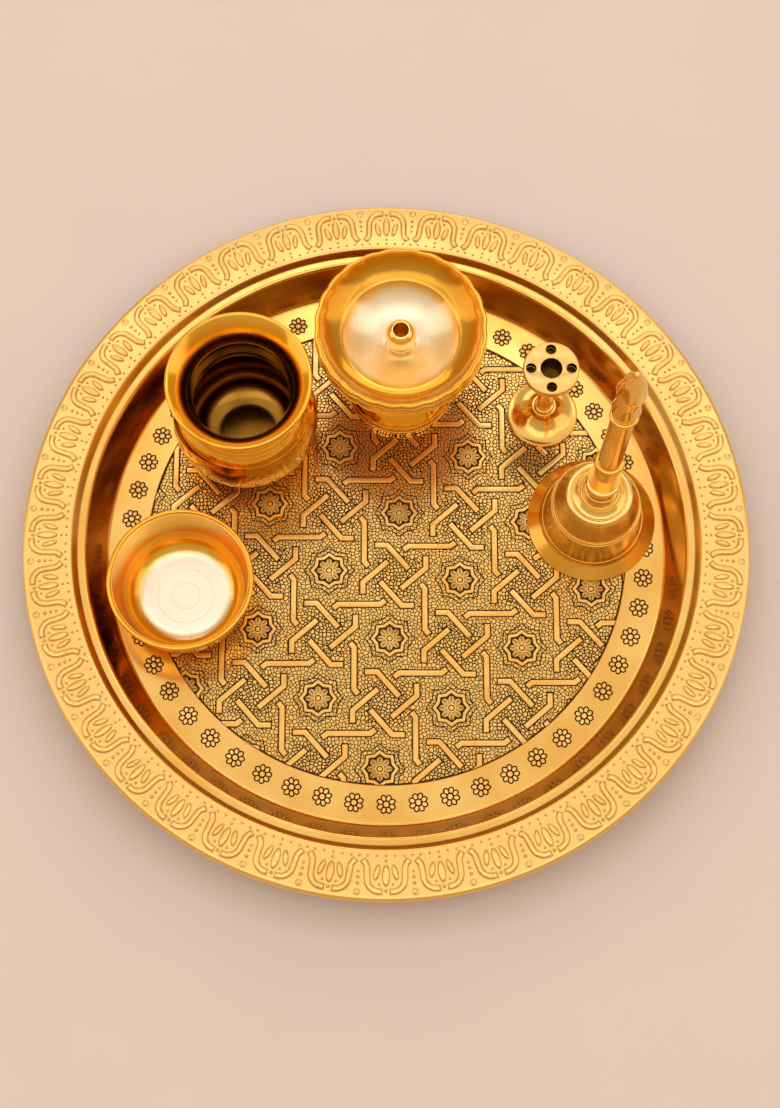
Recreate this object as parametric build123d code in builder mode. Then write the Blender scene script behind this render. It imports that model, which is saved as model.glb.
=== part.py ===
from build123d import *
import math
import os

# Puja thali in brass: a tray that carries a water pot, a bowl, an oil lamp, an incense stand
# and a hand bell.
# Lengths are in millimetres. The origin is the centre of the tray's underside, with +Z up.

# Fits shared by the pieces
socket_gap = 0.05
cut_overrun = 1.0

# Tray
sheet = 1.4
inner_bend_r = 0.6
floor_flat_r = 115.3
floor_corner_r = 2.0
wall_run = 8.9
wall_h = 16.0
ledge_w = 3.3
step_w = 2.5
step_h = 2.5
flange_w = 20.0
edge_bead_r = 2.0

# Water pot, measured from the tray's floor
lota_wall = 1.3
lota_base_r = 18.0
lota_belly_r = 30.2
lota_belly_z = 22.0
lota_collar_r = 21.9
lota_shoulder_z = 42.0
lota_collar_h = 3.0
lota_throat_h = 4.0
lota_mouth_r = 28.7
lota_flare_h = 13.0
lota_skirt_wall = 1.0
lota_skirt_h = 4.0
lota_seam_bead_r = 0.9
lota_lip_bead_r = 0.9

# Bowl
katori_wall = 1.3
katori_rim_r = 29.85
katori_rim_h = 28.0
katori_corner_r = 25.5
katori_bend_r = 12.0
katori_base_r = 15.0
katori_foot_h = 1.6
katori_foot_w = 2.4
katori_lip_bead_r = 0.95

# Oil lamp
diya_wall = 1.5
diya_foot_r = 23.5
diya_foot_edge_h = 2.2
diya_foot_ring_w = 2.6
diya_dome_z = 15.0
diya_dome_bulge = 2.6
diya_stem_r = 7.0
diya_stem_h = 14.9
diya_pad_r = 11.0
diya_pad_flare_h = 9.0
diya_pad_h = 4.5
diya_hollow_h = 8.0
diya_seat_r = 7.3
diya_basin_h = 10.1
diya_basin_sag = 1.6
diya_lip_sag = 1.1
diya_rim_r = 35.0
diya_lip_w = 10.4
diya_lip_h = 8.5
diya_rim_bead_r = 0.85
diya_band_h = 8.5
diya_band_inset = 0.2
diya_band_round = 2.5
diya_web_share = 0.55
diya_stud_r = 2.5
diya_stud_h = 12.0
diya_tip_gap = 1.0
post_flange_r = 6.6
post_flange_h = 1.5
post_neck_r = 4.65
post_neck_h = 3.2
post_bulb_r = 6.5
post_bulb_h = 9.5
wick_hole_r = 3.2
wick_hole_h = 12.0
wick_rim_w = 0.5

# Incense stand
incense_base_r = 15.0
incense_edge_h = 2.0
incense_saucer_h = 4.5
incense_saucer_sag = 1.1
incense_collar_r = 5.2
incense_collar_h = 5.0
incense_stem_r = 3.4
incense_stem_h = 30.5
incense_ring_r = 0.9
incense_peg_r = 1.9
incense_low_peg_h = 8.0
incense_high_peg_h = 3.4
incense_peg_end_gap = 0.3
incense_web_h = 1.2
incense_hub_foot_r = 3.9
incense_hub_r = 6.0
incense_disc_r = 11.5
incense_disc_h = 3.5
incense_disc_round = 0.8
incense_well_r = 4.4
incense_well_h = 5.5
stick_hole_r = 2.1
stick_circle_r = 8.2
stick_hole_count = 4

# Hand bell
bell_wall = 2.2
bell_mouth_r = 26.9
bell_lip_h = 1.0
bell_waist_r = 20.9
bell_waist_h = 4.6
bell_waist_bend_r = 5.0
bell_band_r = 18.2
bell_band_h = 16.4
bell_band_bend_r = 30.0
bell_shoulder_r = 13.4
bell_shoulder_h = 11.6
bell_shoulder_inner_r = 0.4
bell_crown_r = 8.6
bell_crown_h = 1.6
bell_crown_bend_r = 4.0
bell_neck_r = 5.6
bell_cone_h = 9.8
bell_neck_bend_r = 6.0
bell_neck_h = 5.0
handle_tail_h = 10.0
handle_cup_r = 6.7
handle_cup_h = 5.0
handle_stem_r = 4.7
handle_stem_h = 18.0
handle_collar_round = 1.3
handle_shaft_r = 4.6
handle_shaft_h = 50.0
handle_ring_round = 0.9
handle_bud_neck_r = 4.4
handle_bulge_r = 5.5
handle_bulge_h = 6.5
handle_waist_r = 5.0
handle_waist_h = 7.0
handle_bud_r = 5.7
handle_bud_h = 10.0
handle_cap_r = 4.2
handle_cap_h = 8.5
handle_tip_r = 1.2
handle_tip_h = 6.0
handle_end_h = 1.0
eye_stud_r = 1.3
eye_stud_h = 6.0
eye_ring_r = 2.6
eye_wire_r = 0.8
link_gap = 0.3
hook_ring_r = 2.4
hook_wire_r = 0.8
clapper_rod_r = 1.1
clapper_ball_r = 5.5
clapper_drop = 23.2
clapper_peen_h = 0.8

# Where the vessels stand: an arc round the back of the floor, each set in from the floor's edge
diya_angle = 85.4
diya_edge_gap = 6.1
lota_edge_gap = 7.4
katori_edge_gap = 14.2
incense_edge_gap = 10.4
bell_edge_gap = 1.0
lota_diya_gap = 3.6
katori_lota_gap = 16.3
diya_incense_gap = 12.5
incense_bell_gap = 9.6


def arc_step(ring_a, ring_b, apart):
    """Angle between two places on rings about the tray's centre, a given distance apart."""
    return math.degrees(math.acos((ring_a**2 + ring_b**2 - apart**2) / (2 * ring_a * ring_b)))


def place(ring, angle):
    """Point of the floor at a distance and an angle from the tray's centre."""
    turn = math.radians(angle)
    return Vector(ring * math.cos(turn), ring * math.sin(turn), floor_top)


def upright(spot):
    """Sketch plane through a vessel's axis: X is the radius and Y the height above the floor."""
    return Plane(origin=spot, x_dir=(1, 0, 0), z_dir=(0, -1, 0))


def axis_at(spot):
    """The vertical axis that a vessel is turned about."""
    return Axis(spot, (0, 0, 1))


def level(spot, height):
    """Horizontal plane at a height above the floor, centred on a vessel's axis."""
    return Plane(origin=spot + Vector(0, 0, height), z_dir=(0, 0, 1))


# Heights and radii that follow from the sizes above
floor_top = sheet
outer_bend_r = inner_bend_r + sheet
floor_corner = floor_flat_r + floor_corner_r
wall_top_r = floor_flat_r + wall_run
ledge_outer_r = wall_top_r + ledge_w
flange_inner_r = ledge_outer_r + step_w
tray_r = flange_inner_r + flange_w
bead_centre_r = tray_r - edge_bead_r
ledge_z = floor_top + wall_h
flange_z = ledge_z + step_h

diya_ring = floor_flat_r - diya_rim_r - diya_edge_gap
lota_ring = floor_flat_r - lota_belly_r - lota_edge_gap
katori_ring = floor_flat_r - katori_base_r - katori_edge_gap
incense_ring = floor_flat_r - incense_base_r - incense_edge_gap
bell_ring = floor_flat_r - bell_mouth_r - bell_edge_gap
lota_apart = diya_rim_r + lota_belly_r + lota_diya_gap
katori_apart = lota_belly_r + katori_rim_r + katori_lota_gap
incense_apart = diya_rim_r + incense_base_r + diya_incense_gap
bell_apart = incense_base_r + bell_mouth_r + incense_bell_gap
lota_angle = diya_angle + arc_step(diya_ring, lota_ring, lota_apart)
katori_angle = lota_angle + arc_step(lota_ring, katori_ring, katori_apart)
incense_angle = diya_angle - arc_step(diya_ring, incense_ring, incense_apart)
bell_angle = incense_angle - arc_step(incense_ring, bell_ring, bell_apart)
diya_spot = place(diya_ring, diya_angle)
lota_spot = place(lota_ring, lota_angle)
katori_spot = place(katori_ring, katori_angle)
incense_spot = place(incense_ring, incense_angle)
bell_spot = place(bell_ring, bell_angle)

lota_seam_z = lota_shoulder_z + lota_collar_h
lota_throat_z = lota_seam_z + lota_throat_h
lota_rim_z = lota_throat_z + lota_flare_h
lota_bore_r = lota_collar_r - lota_wall

katori_lip_r = katori_rim_r - katori_lip_bead_r
katori_lip_z = katori_rim_h - katori_lip_bead_r
katori_foot_bite = katori_wall / 2

diya_stem_z = diya_dome_z + diya_stem_h
diya_pad_z = diya_stem_z + diya_pad_flare_h + diya_pad_h
diya_floor_z = diya_pad_z + diya_wall
diya_basin_r = diya_rim_r - diya_lip_w
diya_basin_z = diya_pad_z + diya_basin_h
diya_rim_z = diya_basin_z + diya_lip_h
diya_lip_r = diya_rim_r - diya_rim_bead_r
diya_lip_z = diya_rim_z - diya_rim_bead_r
diya_band_r = diya_rim_r - diya_band_inset
post_neck_z = diya_floor_z + post_flange_h
post_bulb_z = post_neck_z + post_neck_h
post_bulb_mid_z = post_bulb_z + post_bulb_h / 2
post_top_z = post_bulb_z + post_bulb_h

incense_saucer_z = incense_edge_h + incense_saucer_h
incense_collar_z = incense_saucer_z + incense_collar_h
incense_hub_z = incense_collar_z + incense_stem_h
incense_well_z = incense_hub_z + incense_high_peg_h + incense_peg_end_gap + incense_web_h
incense_top_z = incense_well_z + incense_well_h
incense_disc_z = incense_top_z - incense_disc_h

bell_waist_z = bell_lip_h + bell_waist_h
bell_band_z = bell_waist_z + bell_band_h
bell_shoulder_z = bell_band_z + bell_shoulder_h
bell_crown_z = bell_shoulder_z + bell_crown_h
bell_cone_z = bell_crown_z + bell_cone_h
bell_seat_z = bell_cone_z + bell_neck_h
bell_bore_r = bell_neck_r - bell_wall
handle_tail_r = bell_bore_r - socket_gap
handle_tail_z = bell_seat_z - handle_tail_h
handle_cup_z = bell_seat_z + handle_cup_h
handle_collar_z = handle_cup_z + handle_stem_h
handle_ring_z = handle_collar_z + handle_shaft_h
handle_bulge_z = handle_ring_z + handle_bulge_h
handle_waist_z = handle_bulge_z + handle_waist_h
handle_bud_z = handle_waist_z + handle_bud_h
handle_cap_z = handle_bud_z + handle_cap_h
handle_tip_z = handle_cap_z + handle_tip_h
handle_end_z = handle_tip_z + handle_end_h
eye_centre_z = handle_tail_z - eye_ring_r - eye_wire_r
clapper_pivot_z = eye_centre_z - eye_ring_r
hook_centre_z = clapper_pivot_z + eye_wire_r + hook_wire_r + link_gap - hook_ring_r
clapper_ball_z = clapper_pivot_z - clapper_drop

os.makedirs("parts", exist_ok=True)

# Tray: one sheet drawn to a flat floor, an upright wall, a ledge and a wide flange with a rolled edge
with BuildPart() as thali_tray:
    with BuildSketch(Plane.XZ):
        with BuildLine():
            FilletPolyline(
                (0, floor_top),
                (floor_corner, floor_top),
                (wall_top_r, ledge_z),
                (ledge_outer_r, ledge_z),
                (flange_inner_r, flange_z),
                (bead_centre_r, flange_z),
                radius=(floor_corner_r, outer_bend_r, inner_bend_r, outer_bend_r),
            )
            offset(amount=sheet, side=Side.RIGHT)
        make_face()
        with Locations((bead_centre_r, flange_z - edge_bead_r)):
            Circle(edge_bead_r)
    revolve(axis=Axis.Z)
thali_tray.part.label = "thali_tray"
export_step(thali_tray.part, "parts/thali_tray.step")

# Water pot, lower piece: round belly up to a short collar
with BuildPart() as lota_body:
    with BuildSketch(upright(lota_spot)):
        with BuildLine():
            lota_base = Line((0, 0), (lota_base_r, 0))
            lota_belly = ThreePointArc(
                lota_base @ 1, (lota_belly_r, lota_belly_z), (lota_collar_r, lota_shoulder_z))
            Line(lota_belly @ 1, (lota_collar_r, lota_seam_z))
            offset(amount=lota_wall, side=Side.LEFT)
        make_face()
    revolve(axis=axis_at(lota_spot))
lota_body.part.label = "lota_body"
export_step(lota_body.part, "parts/lota_body.step")

# Water pot, upper piece: throat and flared mouth on a skirt that is brazed inside the collar
with BuildPart() as lota_neck:
    with BuildSketch(upright(lota_spot)):
        with BuildLine():
            lota_throat = Line((lota_collar_r, lota_seam_z), (lota_collar_r, lota_throat_z))
            TangentArc(lota_throat @ 1, (lota_mouth_r, lota_rim_z), tangent=lota_throat % 1)
            offset(amount=lota_wall, side=Side.LEFT)
        make_face()
        with Locations((lota_bore_r - socket_gap, lota_seam_z)):
            Rectangle(lota_skirt_wall, lota_skirt_h, align=(Align.MAX, Align.MAX))
        with Locations((lota_bore_r - socket_gap - lota_skirt_wall, lota_seam_z)):
            Rectangle(lota_skirt_wall + lota_wall, lota_throat_h, align=(Align.MIN, Align.MIN))
        with Locations((lota_collar_r, lota_seam_z + lota_seam_bead_r)):
            Circle(lota_seam_bead_r)
        with Locations((lota_mouth_r, lota_rim_z)):
            Circle(lota_lip_bead_r)
    revolve(axis=axis_at(lota_spot))
lota_neck.part.label = "lota_neck"
export_step(lota_neck.part, "parts/lota_neck.step")

# Bowl: a spun cup with a thick lip on a low foot ring
with BuildPart() as katori_bowl:
    with BuildSketch(upright(katori_spot)):
        with BuildLine():
            FilletPolyline(
                (0, katori_foot_h),
                (katori_corner_r, katori_foot_h),
                (katori_lip_r, katori_lip_z),
                radius=katori_bend_r,
            )
            offset(amount=katori_wall, side=Side.LEFT)
        make_face()
        with Locations((katori_lip_r, katori_lip_z)):
            Circle(katori_lip_bead_r)
        with Locations((katori_base_r, 0)):
            Rectangle(katori_foot_w, katori_foot_h + katori_foot_bite, align=(Align.MAX, Align.MIN))
    revolve(axis=axis_at(katori_spot))
katori_bowl.part.label = "katori_bowl"
export_step(katori_bowl.part, "parts/katori_bowl.step")

# Oil lamp, foot: a domed and hollow base, a stem and a pad that the dish sits on
with BuildPart() as diya_foot:
    with BuildSketch(upright(diya_spot)):
        with BuildLine():
            diya_edge = Polyline(
                (diya_foot_r - diya_foot_ring_w, 0), (diya_foot_r, 0), (diya_foot_r, diya_foot_edge_h))
            diya_dome = SagittaArc(diya_edge @ 1, (diya_stem_r, diya_dome_z), -diya_dome_bulge)
            diya_stem = Line(diya_dome @ 1, (diya_stem_r, diya_stem_z))
            diya_flare = TangentArc(
                diya_stem @ 1, (diya_pad_r, diya_stem_z + diya_pad_flare_h), tangent=diya_stem % 1)
            Polyline(
                diya_flare @ 1, (diya_pad_r, diya_pad_z), (0, diya_pad_z), (0, diya_hollow_h), diya_edge @ 0)
        make_face()
    revolve(axis=axis_at(diya_spot))
    with BuildSketch(level(diya_spot, diya_pad_z)):
        Circle(diya_stud_r + socket_gap)
    extrude(amount=-diya_stud_h - diya_tip_gap, mode=Mode.SUBTRACT)
diya_foot.part.label = "diya_foot"
export_step(diya_foot.part, "parts/diya_foot.step")

# Oil lamp, dish: a round basin, a hollow lip and an upright band, holed for the wick post's stud
with BuildPart() as diya_bowl:
    with BuildSketch(upright(diya_spot)):
        with BuildLine():
            diya_seat = Line((diya_stud_r + socket_gap, diya_pad_z), (diya_seat_r, diya_pad_z))
            diya_basin = SagittaArc(diya_seat @ 1, (diya_basin_r, diya_basin_z), -diya_basin_sag)
            SagittaArc(diya_basin @ 1, (diya_lip_r, diya_lip_z), -diya_lip_sag)
            offset(amount=diya_wall, side=Side.LEFT)
        make_face()
        with BuildLine():
            diya_band = FilletPolyline(
                (diya_band_r, diya_lip_z),
                (diya_band_r, diya_lip_z - diya_band_h),
                diya_basin @ diya_web_share,
                radius=diya_band_round,
            )
            Polyline(diya_band @ 1, (diya_basin_r, diya_basin_z), (diya_lip_r, diya_lip_z), diya_band @ 0)
        make_face()
        with Locations((diya_lip_r, diya_lip_z)):
            Circle(diya_rim_bead_r)
    revolve(axis=axis_at(diya_spot))
diya_bowl.part.label = "diya_bowl"
export_step(diya_bowl.part, "parts/diya_bowl.step")

# Oil lamp, wick post: its stud goes through the dish into the foot and clamps the two together
with BuildPart() as diya_wick_post:
    with BuildSketch(upright(diya_spot)):
        with BuildLine():
            post_low = Polyline(
                (0, diya_pad_z - diya_stud_h),
                (diya_stud_r, diya_pad_z - diya_stud_h),
                (diya_stud_r, diya_floor_z),
                (post_flange_r, diya_floor_z),
                (post_neck_r, post_neck_z),
                (post_neck_r, post_bulb_z),
            )
            post_bulb = ThreePointArc(
                post_low @ 1,
                (post_bulb_r, post_bulb_mid_z),
                (wick_hole_r + wick_rim_w, post_top_z),
            )
            Polyline(
                post_bulb @ 1,
                (wick_hole_r, post_top_z),
                (wick_hole_r, post_top_z - wick_hole_h),
                (0, post_top_z - wick_hole_h),
                post_low @ 0,
            )
        make_face()
    revolve(axis=axis_at(diya_spot))
diya_wick_post.part.label = "diya_wick_post"
export_step(diya_wick_post.part, "parts/diya_wick_post.step")

# Incense stand, base: a flat saucer that rises to a collar with a socket
with BuildPart() as incense_base:
    with BuildSketch(upright(incense_spot)):
        with BuildLine():
            saucer_edge = Polyline((0, 0), (incense_base_r, 0), (incense_base_r, incense_edge_h))
            saucer = SagittaArc(saucer_edge @ 1, (incense_collar_r, incense_saucer_z), incense_saucer_sag)
            Polyline(
                saucer @ 1, (incense_collar_r, incense_collar_z), (0, incense_collar_z), saucer_edge @ 0)
        make_face()
    revolve(axis=axis_at(incense_spot))
    with BuildSketch(level(incense_spot, incense_collar_z)):
        Circle(incense_peg_r + socket_gap)
    extrude(amount=-incense_low_peg_h - incense_peg_end_gap, mode=Mode.SUBTRACT)
incense_base.part.label = "incense_base"
export_step(incense_base.part, "parts/incense_base.step")

# Incense stand, stem: a turned rod with two rings and a peg at each end
with BuildPart() as incense_stem:
    with BuildSketch(upright(incense_spot)):
        with Locations((0, incense_collar_z)):
            Rectangle(incense_stem_r, incense_stem_h, align=(Align.MIN, Align.MIN))
            Rectangle(incense_peg_r, incense_low_peg_h, align=(Align.MIN, Align.MAX))
        with Locations((0, incense_hub_z)):
            Rectangle(incense_peg_r, incense_high_peg_h, align=(Align.MIN, Align.MIN))
        with Locations(
            (incense_stem_r, incense_collar_z + incense_ring_r),
            (incense_stem_r, incense_hub_z - incense_ring_r),
        ):
            Circle(incense_ring_r)
    revolve(axis=axis_at(incense_spot))
incense_stem.part.label = "incense_stem"
export_step(incense_stem.part, "parts/incense_stem.step")

# Incense stand, head: a disc with a well in the middle and a ring of holes for sticks
with BuildPart() as incense_head:
    with BuildSketch(upright(incense_spot)):
        with BuildLine():
            Polyline(
                (0, incense_hub_z),
                (incense_hub_foot_r, incense_hub_z),
                (incense_hub_r, incense_well_z),
                (incense_hub_r, incense_disc_z),
                (incense_disc_r, incense_disc_z),
                (incense_disc_r, incense_top_z),
                (0, incense_top_z),
                close=True,
            )
        make_face()
        fillet(vertices().sort_by(Axis.X)[-2:], incense_disc_round)
    revolve(axis=axis_at(incense_spot))
    with BuildSketch(level(incense_spot, incense_hub_z)):
        Circle(incense_peg_r + socket_gap)
    extrude(amount=incense_high_peg_h + incense_peg_end_gap, mode=Mode.SUBTRACT)
    with BuildSketch(level(incense_spot, incense_top_z)):
        Circle(incense_well_r)
    extrude(amount=-incense_well_h, mode=Mode.SUBTRACT)
    with BuildSketch(level(incense_spot, incense_top_z)):
        with PolarLocations(stick_circle_r, stick_hole_count):
            Circle(stick_hole_r)
    extrude(amount=-incense_disc_h - cut_overrun, mode=Mode.SUBTRACT)
incense_head.part.label = "incense_head"
export_step(incense_head.part, "parts/incense_head.step")

# Hand bell, cup: a flared mouth faced off flat, a rolled shoulder and a neck for the handle's tail
with BuildPart() as bell_cup:
    with BuildSketch(upright(bell_spot)):
        with BuildLine():
            bell_lip = Line((bell_mouth_r, -cut_overrun), (bell_mouth_r, bell_lip_h))
            FilletPolyline(
                bell_lip @ 1,
                (bell_waist_r, bell_waist_z),
                (bell_band_r, bell_band_z),
                (bell_shoulder_r, bell_shoulder_z),
                (bell_crown_r, bell_crown_z),
                (bell_neck_r, bell_cone_z),
                (bell_neck_r, bell_seat_z),
                radius=(
                    bell_waist_bend_r,
                    bell_band_bend_r,
                    bell_wall + bell_shoulder_inner_r,
                    bell_crown_bend_r,
                    bell_neck_bend_r,
                ),
            )
            offset(amount=bell_wall, side=Side.LEFT)
        make_face()
    revolve(axis=axis_at(bell_spot))
    split(bisect_by=level(bell_spot, 0), keep=Keep.TOP)
bell_cup.part.label = "bell_cup"
export_step(bell_cup.part, "parts/bell_cup.step")

# Hand bell, handle: a turned shaft with rings and a bud, on a tail that fills the cup's neck
with BuildPart() as bell_handle:
    with BuildSketch(upright(bell_spot)):
        with BuildLine():
            handle_low = Polyline(
                (0, handle_tail_z),
                (handle_tail_r, handle_tail_z),
                (handle_tail_r, bell_seat_z),
                (bell_neck_r, bell_seat_z),
            )
            handle_cup = TangentArc(handle_low @ 1, (handle_cup_r, handle_cup_z), tangent=(0, 1))
            handle_mid = Polyline(
                handle_cup @ 1,
                (handle_stem_r, handle_cup_z),
                (handle_stem_r, handle_collar_z),
                (handle_shaft_r, handle_collar_z),
                (handle_shaft_r, handle_ring_z),
                (handle_bud_neck_r, handle_ring_z),
            )
            handle_bud = Spline(
                handle_mid @ 1,
                (handle_bulge_r, handle_bulge_z),
                (handle_waist_r, handle_waist_z),
                (handle_bud_r, handle_bud_z),
                (handle_cap_r, handle_cap_z),
                (handle_tip_r, handle_tip_z),
            )
            Polyline(
                handle_bud @ 1, (handle_tip_r, handle_end_z), (0, handle_end_z), handle_low @ 0)
        make_face()
        with Locations((handle_stem_r, handle_collar_z)):
            Circle(handle_collar_round)
        with Locations((handle_shaft_r, handle_ring_z)):
            Circle(handle_ring_round)
    revolve(axis=axis_at(bell_spot))
    with BuildSketch(level(bell_spot, handle_tail_z)):
        Circle(eye_stud_r + socket_gap)
    extrude(amount=eye_stud_h, mode=Mode.SUBTRACT)
bell_handle.part.label = "bell_handle"
export_step(bell_handle.part, "parts/bell_handle.step")

# Hand bell, eye: a ring on a stud that screws up into the handle's tail
with BuildPart() as bell_clapper_eye:
    with BuildSketch(level(bell_spot, handle_tail_z - eye_wire_r)):
        Circle(eye_stud_r)
    extrude(amount=eye_stud_h + eye_wire_r - socket_gap)
    with Locations(Location(bell_spot + Vector(0, 0, eye_centre_z), (90, 0, 0))):
        Torus(eye_ring_r, eye_wire_r)
bell_clapper_eye.part.label = "bell_clapper_eye"
export_step(bell_clapper_eye.part, "parts/bell_clapper_eye.step")

# Hand bell, clapper rod: a ring that hangs in the eye, and a rod peened under the ball
with BuildPart() as bell_clapper_rod:
    with Locations(Location(bell_spot + Vector(0, 0, hook_centre_z), (0, 90, 0))):
        Torus(hook_ring_r, hook_wire_r)
    with BuildSketch(level(bell_spot, clapper_ball_z - clapper_ball_r - clapper_peen_h)):
        Circle(clapper_rod_r)
    extrude(amount=hook_centre_z - hook_ring_r - clapper_ball_z + clapper_ball_r + clapper_peen_h)
bell_clapper_rod.part.label = "bell_clapper_rod"
export_step(bell_clapper_rod.part, "parts/bell_clapper_rod.step")

# Hand bell, clapper ball: threaded on the rod
with BuildPart() as bell_clapper_ball:
    with Locations(bell_spot + Vector(0, 0, clapper_ball_z)):
        Sphere(clapper_ball_r)
        Hole(clapper_rod_r + socket_gap)
bell_clapper_ball.part.label = "bell_clapper_ball"
export_step(bell_clapper_ball.part, "parts/bell_clapper_ball.step")
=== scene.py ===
"""Puja thali in brass: turned vessels on a tray with an engraved floor and an embossed rim."""
import math

import bmesh
import bpy
from bpy.props import FloatProperty, FloatVectorProperty, IntProperty, PointerProperty
from mathutils import Matrix, Vector


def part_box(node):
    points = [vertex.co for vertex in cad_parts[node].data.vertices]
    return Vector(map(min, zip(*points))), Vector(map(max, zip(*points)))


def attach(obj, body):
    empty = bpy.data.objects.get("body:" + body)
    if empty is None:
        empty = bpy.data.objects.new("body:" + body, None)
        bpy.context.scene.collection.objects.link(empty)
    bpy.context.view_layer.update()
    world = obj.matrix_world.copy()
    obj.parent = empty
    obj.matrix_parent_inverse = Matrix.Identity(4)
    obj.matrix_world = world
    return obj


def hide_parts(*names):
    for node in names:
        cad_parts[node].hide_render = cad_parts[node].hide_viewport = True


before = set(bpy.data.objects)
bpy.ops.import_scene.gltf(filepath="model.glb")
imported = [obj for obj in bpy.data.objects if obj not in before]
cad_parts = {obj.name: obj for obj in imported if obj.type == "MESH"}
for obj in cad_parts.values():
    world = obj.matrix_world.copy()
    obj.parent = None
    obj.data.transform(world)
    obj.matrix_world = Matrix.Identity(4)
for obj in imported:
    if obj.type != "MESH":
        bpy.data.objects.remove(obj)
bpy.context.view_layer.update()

bl_info = {
    "name": "Puja Thali",
    "version": (1, 0, 0),
    "blender": (4, 5, 0),
    "location": "View3D > Sidebar > Thali",
    "description": "Dresses a brass puja tray and the vessels that stand on it",
    "category": "Add Mesh",
}

MM = 0.001
# Places of the finishes in a piece's list: those of the ornament, and the painted shade of a vessel's inside
PATINA, METAL, WORN = 0, 1, 2
INSIDE = 1


def axis_of(node):
    """Foot of a turned node's axis, in millimetres."""
    low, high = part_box(node)
    return Vector(((low.x + high.x) / 2, (low.y + high.y) / 2, low.z)) / MM


CENTRE = Vector((0, 0, 0))
LATTICE = Vector((29.45, 25.42))
FIRST_STAR = Vector((1.4, -39.1))
LOTA = axis_of("lota_body")
KATORI = axis_of("katori_bowl")
DIYA = axis_of("diya_foot")
INCENSE = axis_of("incense_base")
BELL = axis_of("bell_cup")
RIM_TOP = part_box("thali_tray")[1].z / MM
# Radii between which one part of the tray's sheet turns into the next
WALL_FOOT = (116.8, 117.6)
WALL_TOP = (123.6, 124.6)
STEP_FOOT = (126.8, 128.0)
STEP_TOP = (128.8, 130.2)
FLANGE = (128.5, 130.5)


# Shader wires

class Wire:
    """One output of a material's nodes. Arithmetic on it adds Math nodes."""

    def __init__(self, tree, socket):
        self.tree = tree
        self.socket = socket

    def node(self, kind, settings=None, sockets=None, out=0):
        """Adds any node: its settings first, then the values or wires of its sockets."""
        made = self.tree.nodes.new(kind)
        for key, value in (settings or {}).items():
            setattr(made, key, value)
        for key, value in (sockets or {}).items():
            if isinstance(value, Wire):
                self.tree.links.new(value.socket, made.inputs[key])
            else:
                made.inputs[key].default_value = value
        return Wire(self.tree, made.outputs[out]) if made.outputs else None

    def maths(self, operation, *values):
        """Adds a Math node."""
        return self.node("ShaderNodeMath", {"operation": operation}, dict(enumerate(values)))

    def __add__(self, other):
        return self.maths("ADD", self, other)

    __radd__ = __add__

    def __mul__(self, other):
        return self.maths("MULTIPLY", self, other)

    __rmul__ = __mul__

    def __sub__(self, other):
        return self.maths("SUBTRACT", self, other)

    def __rsub__(self, other):
        return self.maths("SUBTRACT", other, self)

    def rise(self, low, high):
        """Smooth step from 0 at low to 1 at high."""
        return self.node("ShaderNodeMapRange", {"interpolation_type": "SMOOTHSTEP"},
                         {"Value": self, "From Min": low, "From Max": high})

    def noise(self, scale, detail=2.0):
        """Fractal noise read at this place."""
        return self.node("ShaderNodeTexNoise", None, {"Vector": self, "Scale": scale, "Detail": detail})

    def mix(self, low, high):
        """Colour between two, by this share."""
        return self.node("ShaderNodeMix", {"data_type": "RGBA"}, {0: self, 6: low, 7: high}, 2)


def begin(name):
    """A new material and its object coordinates."""
    material = bpy.data.materials.new(name)
    material.use_nodes = True
    material.node_tree.nodes.clear()
    coords = material.node_tree.nodes.new("ShaderNodeTexCoord")
    return material, Wire(material.node_tree, coords.outputs["Object"])


def surface(place, **sockets):
    """Ends a material in a Principled shader."""
    named = {key.replace("_", " "): value for key, value in sockets.items()}
    shader = place.node("ShaderNodeBsdfPrincipled", None, named)
    place.node("ShaderNodeOutputMaterial", None, {"Surface": shader})


def rgba(colour, share=1.0):
    """A property's colour with alpha, dimmed by a share."""
    return (colour[0] * share, colour[1] * share, colour[2] * share, 1.0)


def from_axis(place, axis):
    """Place measured from the foot of a turned piece's axis, in metres."""
    return place.node("ShaderNodeVectorMath", {"operation": "SUBTRACT"}, {0: place, 1: tuple(axis * MM)})


def radius_of(local):
    """Distance from the axis, in metres."""
    level = local.node("ShaderNodeVectorMath", {"operation": "MULTIPLY"}, {0: local, 1: (1, 1, 0)})
    return local.node("ShaderNodeVectorMath", {"operation": "LENGTH"}, {0: level}, 1)


def past(radius, edges):
    """0 inside a circle and 1 outside it, blended between two radii in millimetres."""
    low, high = edges
    return radius.rise(low * MM, high * MM)


def bump(place, height, strength, depth):
    """A Bump node for a height between 0 and 1 and a depth in metres."""
    return place.node("ShaderNodeBump", None, {"Strength": strength, "Distance": depth, "Height": height})


# Brass finishes

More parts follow.
